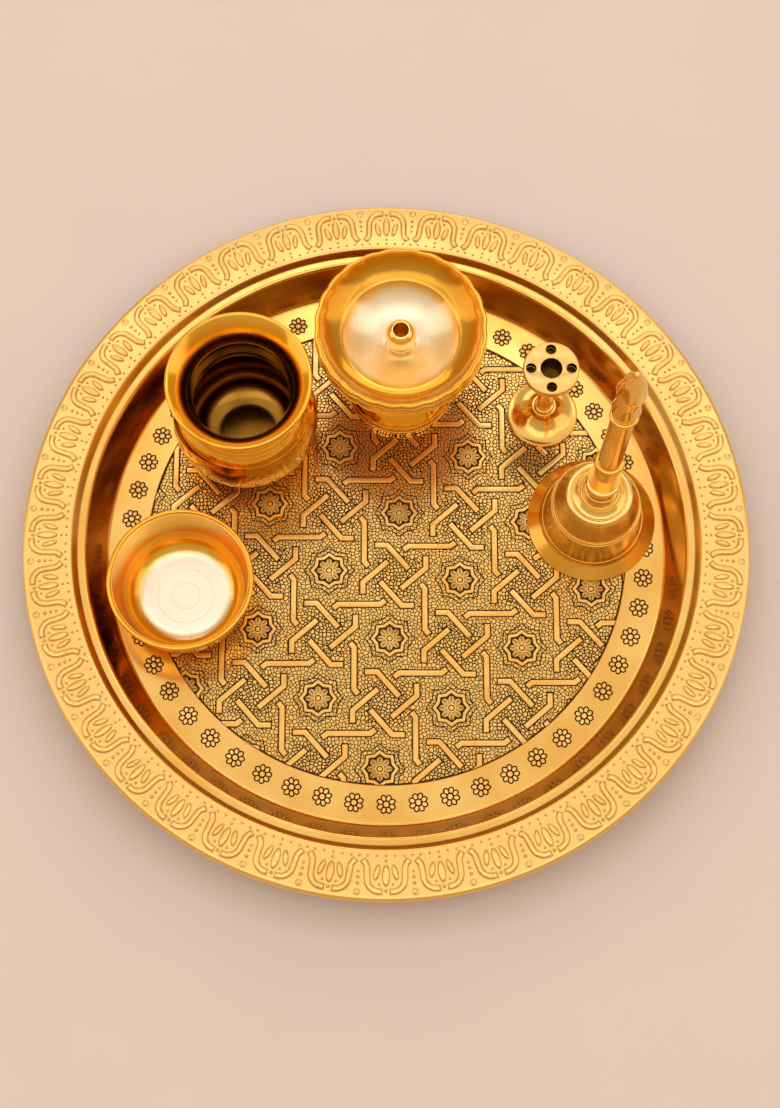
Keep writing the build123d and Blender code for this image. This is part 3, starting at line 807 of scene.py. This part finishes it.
class THALI_OT_diya(ThaliPiece, bpy.types.Operator):
    """Turns the oil lamp: its foot, its scalloped dish and its wick post"""
    bl_idname = "thali.diya"
    bl_label = "Oil lamp"

    def make(self, tray, vessels):
        basin, band_r, neck_r = 24.6, 34.8, 4.65
        seat_z, floor_z = 43.4, 44.9
        round_x, round_z = 0.545, 74.83
        bore_r, hole_r, hole_z = 2.55, 3.2, 47.1
        # Painted highlight: the dish's upward faces inside the basin are painted pale
        brass = turned_brass("lamp_polish", DIYA, vessels.brass, vessels.worn_and_shade_brass, 0.12,
                             highlight_zone=(vessels.lamp_highlight_tint, basin, 0.16))
        # Painted shade: darker orange for the inner wall of the dish
        wall = turned_brass("dish_wall_shade", DIYA, vessels.dish_wall_shade, rgba(vessels.dish_wall_shade, 0.85), 0.12)
        plain = turned_brass("lamp_post_polish", DIYA, vessels.brass, vessels.worn_and_shade_brass, 0.05)
        foot = Outline(0, 8).to(20.9, 0).to(23.5, 0, 0.4).to(23.5, 2.2, 0.5).arc(3.19, -6.94, 55.92, 20)
        foot.to(7, 29.9).arc(19.125, 29.9, -47.9, 12).to(11, seat_z).to(0, seat_z)
        piece(join(foot.turned(), ring(23.1, 2.9, 0.4), ring(22.3, 4.6, 0.25)), "diya_pedestal", "diya",
              [plain], DIYA, ["diya_foot"])
        dish = Outline(bore_r, seat_z).to(7.3, seat_z).arc(round_x, round_z, 19.97, 10)
        dish.to(band_r, 52.65, 2.5).to(band_r, 60.6).arc(34.15, 61.15, 189.2, 12).to(32.86, 61.92)
        dish.arc(19.09, 70.17, -40.78, 16).arc(basin, 53.5, 30.3, 5).arc(round_x, round_z, -35.99, 18)
        dish.to(bore_r, floor_z).close()
        steps = vessels.lobes * 8
        dish = join(dish.turned(steps), ring(band_r, 53.4, 0.3, steps), ring(34.75, 58.6, 0.25, steps))
        beads = bmesh.new()
        bmesh.ops.create_icosphere(beads, subdivisions=1, radius=0.5)
        join(dish, strew(beads, round_the_tray(vessels.lobes * 7, 34.3, 61.6)))
        scallop(dish, vessels.lobes, vessels.wave,
                lambda radius, height: min(max((radius - 29) / 5, 0), 1) ** 2)
        # The dish's inner wall gets the painted shade
        shade_inside(dish, lambda spot, normal: basin < off_axis(spot) < 33.2 and faces_axis(spot, normal))
        piece(dish, "diya_dish", "diya", [brass, wall], DIYA, ["diya_bowl"])
        post = Outline(0, 31.4).to(2.5, 31.4).to(2.5, floor_z).to(6.6, floor_z, 0.2).to(neck_r, 46.4, 0.8)
        post.to(neck_r, 49.6).arc(0.4366, 53.976, 103.59, 22).to(hole_r, 59.1, 0.15).to(hole_r, hole_z)
        post = post.to(0, hole_z).turned(96)
        # Painted shade inside the wick hole
        shade_inside(post, lambda spot, normal: 47 < spot.z < 59 and off_axis(spot) < 3.25)
        # Painted highlight: the bulb is painted pale all over
        bulb = turned_brass("lamp_bulb_highlight", DIYA, vessels.painted_sheen, vessels.stand, 0.05)
        # The second finish paints shade in the wick hole
        finishes = [bulb, hole_shade_brass("wick_hole", vessels.worn_and_shade_brass)]
        piece(post, "diya_bulb_post", "diya", finishes, DIYA, ["diya_wick_post"])


class THALI_OT_incense(ThaliPiece, bpy.types.Operator):
    """Turns the incense stand: saucer, ringed stem and drilled head"""
    bl_idname = "thali.incense"
    bl_label = "Incense stand"

    def make(self, tray, vessels):
        brass = turned_brass("stand_polish", INCENSE, vessels.stand, vessels.stand_deep, 0.13)
        # The second finish paints near-black shade in the stick holes and the well
        finishes = [turned_brass("stand_top", INCENSE, rgba(tray.satin, 0.93), tray.brass, 0.28),
                    hole_shade_brass("stick_holes", rgba(vessels.shade_inside, 0.2))]
        saucer = Outline(0, 0).to(15, 0, 0.3).to(15, 2, 0.5).arc(15.386, 15.761, -46.1, 14)
        saucer = saucer.to(5.2, 11.5, 0.4).to(0, 11.5).turned()
        piece(join(saucer, ring(14.3, 2.05, 0.2)), "incense_saucer", "incense_stand", [brass],
              INCENSE, ["incense_base"])
        stem = Outline(0, 11.3).to(3.4, 11.5).arc(3.4, 12.4, 180, 8).to(3.4, 40.2).arc(3.4, 41.1, 180, 8)
        stem = stem.to(0, 42.2).turned(64)
        piece(stem, "incense_spindle", "incense_stand", [brass], INCENSE, ["incense_stem"])
        head_r, head_z, head_h = 11.5, 48.9, 3.5
        well_r, well_z = 4.4, 46.9
        hole_r, holes_r = 2.1, 8.2
        hub = Outline(0, 42).to(3.9, 42).to(6, well_z, 0.5).to(6, 49.2).to(well_r, 49.2).to(well_r, well_z)
        hub = hub.to(0, well_z).turned(64)
        # Painted shade in the well
        shade_inside(hub, lambda spot, normal: 46 < spot.z < 49.1 and off_axis(spot) < 4.5)
        head = bmesh.new()
        bmesh.ops.create_circle(head, segments=64, radius=head_r)
        bmesh.ops.create_circle(head, segments=32, radius=well_r)
        for number in range(4):
            way = Matrix.Rotation(math.pi / 2 * number, 4, "Z") @ Matrix.Translation((holes_r, 0, 0))
            bmesh.ops.create_circle(head, segments=24, radius=hole_r, matrix=way)
        lifted(head, head_z)
        bmesh.ops.triangle_fill(head, use_beauty=True, use_dissolve=False, edges=head.edges[:],
                                normal=(0, 0, 1))
        made = verts_of(bmesh.ops.extrude_face_region(head, geom=head.faces[:])["geom"])
        bmesh.ops.translate(head, verts=made, vec=(0, 0, head_h))
        bmesh.ops.recalc_face_normals(head, faces=head.faces)
        sharp = [edge for edge in head.edges if edge.calc_face_angle(0) > 1.2]
        outer = [edge for edge in sharp if off_axis(edge.verts[0].co) > 11]
        holes = [edge for edge in sharp if off_axis(edge.verts[0].co) < 11]
        bmesh.ops.bevel(head, geom=holes, offset=0.25, offset_type="OFFSET", segments=2, profile=0.5,
                        affect="EDGES", material=-1)
        outer = [edge for edge in outer if edge.is_valid]
        bmesh.ops.bevel(head, geom=outer, offset=0.8, offset_type="OFFSET", segments=4, profile=0.5,
                        affect="EDGES", material=-1)
        # A dark disc near the bottom of each hole, painted shade
        for number in range(4):
            join(head, lifted(disc(hole_r, 24, x=holes_r, turn=math.pi / 2 * number), 49.0))
        # Painted shade on the hole walls, the discs and the underside
        shade_inside(head, lambda spot, normal: off_axis(spot) < 10.8
                and (abs(normal.z) < 0.3 or spot.z < 49.1))
        piece(join(head, hub), "incense_disc", "incense_stand", finishes, INCENSE,
              ["incense_head"])


class THALI_OT_bell(ThaliPiece, bpy.types.Operator):
    """Turns the hand bell: its ringed cup and its budded handle"""
    bl_idname = "thali.bell"
    bl_label = "Hand bell"

    def make(self, tray, vessels):
        # Painted highlight: the shoulder's upward faces are painted pale
        brass = turned_brass("bell_satin", BELL, vessels.bell, vessels.bell_deep, 0.17, 0.3,
                             highlight_zone=(vessels.painted_sheen, 19.5, 0.02))
        smooth = turned_brass("grip_satin", BELL, vessels.bell, vessels.bell_deep, 0.13, 0.15)
        mouth_r, neck_r, neck_z = 26.9, 5.6, 50
        thickness = 2.2
        wall = [(mouth_r, 1.0, 0.4), (20.9, 5.6, 5), (18.2, 22, 30), (13.4, 33.6, 2.6), (8.6, 35.2, 4),
                (neck_r, 45, 6), (neck_r, neck_z, 0)]
        cup = Outline(24.59, 0).to(mouth_r, 0)
        for corner in wall:
            cup.to(*corner)
        for corner in reversed(inner_side(wall, thickness)[1:]):
            cup.to(*corner)
        rings = [ring(20.9, 6.4, 0.3), ring(18.35, 21.2, 0.35), ring(17.9, 23.0, 0.3), ring(12.2, 33.9, 1.7),
                 ring(7.6, 38.0, 0.45), ring(6.3, 42.4, 0.4), ring(neck_r, 49.0, 1.25)]
        cup = join(cup.close().turned(), *rings)
        piece(cup, "bell_body", "bell", [brass], BELL, ["bell_cup"])
        grip = Outline(0, 40).to(3.35, 40).to(3.35, neck_z).to(neck_r, neck_z)
        grip.arc(17.514, neck_z, -24.8, 6).to(4.7, 55)
        grip.to(4.7, 71.7).arc(4.7, 73, 180, 10).to(4.6, 74.3).to(4.6, 122.1).arc(4.6, 123, 180, 8)
        grip.to(4.4, 124.2).to(5.7, 129.5, 6).to(4.5, 136.5, 5).to(5.9, 146.5, 12).to(4.2, 155, 12)
        grip = grip.to(1.2, 161, 2).to(1.2, 162, 0.5).to(0, 162).turned(96)
        scallop(grip, 8, 0.35, lambda radius, height: min(max((height - 124) / 4, 0), 1))
        piece(grip, "bell_grip", "bell", [smooth], BELL, ["bell_handle"])


class THALI_OT_clapper(ThaliPiece, bpy.types.Operator):
    """Gives the bell's clapper and its eye their cast brass"""
    bl_idname = "thali.clapper"
    bl_label = "Clapper"

    def make(self, tray, vessels):
        cast = raised_brass("clapper_cast", vessels.cast, rgba(vessels.cast, 0.7), 0.35)
        for node in ("bell_clapper_eye", "bell_clapper_rod", "bell_clapper_ball"):
            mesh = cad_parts[node].data
            mesh.materials.clear()
            mesh.materials.append(cast)


class THALI_OT_stage(bpy.types.Operator):
    """Lays the pale floor and sets the light and the camera"""
    bl_idname = "thali.stage"
    bl_label = "Stage"
    bl_options = {"REGISTER", "UNDO"}

    def execute(self, context):
        scene = context.scene
        stage = scene.thali_stage
        bm = bmesh.new()
        bmesh.ops.create_grid(bm, x_segments=4, y_segments=4, size=8.0)
        mesh = bpy.data.meshes.new("studio_floor")
        bm.to_mesh(mesh)
        bm.free()
        material, place = begin("floor_paper")
        tone = place.noise(14, 3.0).mix(rgba(stage.floor, 0.97), rgba(stage.floor, 1.03))
        fibre = place.noise(700, 3.0)
        surface(place, Base_Color=tone, Roughness=0.9, Normal=bump(place, fibre, 0.15, 0.0003))
        mesh.materials.append(material)
        floor = bpy.data.objects.new("studio_floor", mesh)
        scene.collection.objects.link(floor)
        self.light(scene, stage)
        camera = bpy.data.objects.new("photo_view", bpy.data.cameras.new("photo_view"))
        camera.data.lens = stage.lens
        camera.data.clip_start = 0.01
        camera.location = stage.spot
        camera.rotation_euler = (stage.tilt, 0, 0)
        scene.collection.objects.link(camera)
        scene.camera = camera
        scene.view_settings.view_transform = "Standard"
        return {"FINISHED"}

    def light(self, scene, stage):
        """A warm room, boxes overhead, in front and behind, a low lamp behind and a strip on each side."""
        world = bpy.data.worlds.new("studio_room")
        world.use_nodes = True
        tree = world.node_tree
        tree.nodes.clear()
        coords = tree.nodes.new("ShaderNodeTexCoord")
        way = Wire(tree, coords.outputs["Generated"])
        up = way.node("ShaderNodeSeparateXYZ", None, {0: way}, 2)
        tone = up.rise(0.25, 0.7).mix(rgba(stage.room), rgba(stage.ceiling))
        back = way.node("ShaderNodeBackground", None, {"Color": tone, "Strength": 1.0})
        way.node("ShaderNodeOutputWorld", None, {"Surface": back})
        scene.world = world
        self.area(scene, "soft_box", power=stage.box, size=(2.0, 1.4),
                  spot=(0, 0.05, 1.25), target=(0, 0.05, 0))
        self.area(scene, "back_lamp", power=stage.lamp, size=(1.5, 0.5),
                  spot=(0.1, 1.2, 0.55), target=(0, 0, 0))
        self.area(scene, "back_box", power=stage.box * 0.35, size=(1.2, 0.2),
                  spot=(0, 0.6, 1.15), target=(0, 0.6, 0))
        self.area(scene, "front_box", power=stage.box * 0.55, size=(1.4, 0.5),
                  spot=(0, -0.45, 1.2), target=(0, -0.2, 0))
        for side in (-1, 1):
            self.area(scene, "side_strip", power=stage.box * 0.75, size=(0.8, 1.4),
                      spot=(1.1 * side, 0, 0.6), target=(0, 0, 0))

    def area(self, scene, name, power, size, spot, target):
        """A soft rectangular lamp that looks at a target."""
        lamp = bpy.data.lights.new(name, "AREA")
        lamp.shape = "RECTANGLE"
        lamp.size, lamp.size_y = size
        lamp.energy = power
        lamp.color = (1.0, 0.96, 0.91)
        made = bpy.data.objects.new(name, lamp)
        made.location = spot
        made.rotation_euler = (Vector(target) - Vector(spot)).to_track_quat("-Z", "Y").to_euler()
        scene.collection.objects.link(made)


OPERATORS = (THALI_OT_sheet, THALI_OT_straps, THALI_OT_rosettes, THALI_OT_frieze, THALI_OT_lota,
             THALI_OT_katori, THALI_OT_diya, THALI_OT_incense, THALI_OT_bell, THALI_OT_clapper,
             THALI_OT_stage)


class THALI_PT_panel(bpy.types.Panel):
    """Lists the thali's operators in the 3D view's sidebar"""
    bl_idname = "THALI_PT_panel"
    bl_label = "Puja thali"
    bl_space_type = "VIEW_3D"
    bl_region_type = "UI"
    bl_category = "Thali"

    def draw(self, context):
        for operator in OPERATORS:
            self.layout.operator(operator.bl_idname)


CLASSES = (ThaliTray, ThaliVessels, ThaliStage) + OPERATORS + (THALI_PT_panel,)


def register():
    for cls in CLASSES:
        bpy.utils.register_class(cls)
    bpy.types.Scene.thali_tray = PointerProperty(type=ThaliTray)
    bpy.types.Scene.thali_vessels = PointerProperty(type=ThaliVessels)
    bpy.types.Scene.thali_stage = PointerProperty(type=ThaliStage)


def unregister():
    del bpy.types.Scene.thali_stage
    del bpy.types.Scene.thali_vessels
    del bpy.types.Scene.thali_tray
    for cls in reversed(CLASSES):
        bpy.utils.unregister_class(cls)


def main():
    register()
    for operator in OPERATORS:
        group, call = operator.bl_idname.split(".")
        getattr(getattr(bpy.ops, group), call)()


if __name__ == "__main__":
    main()
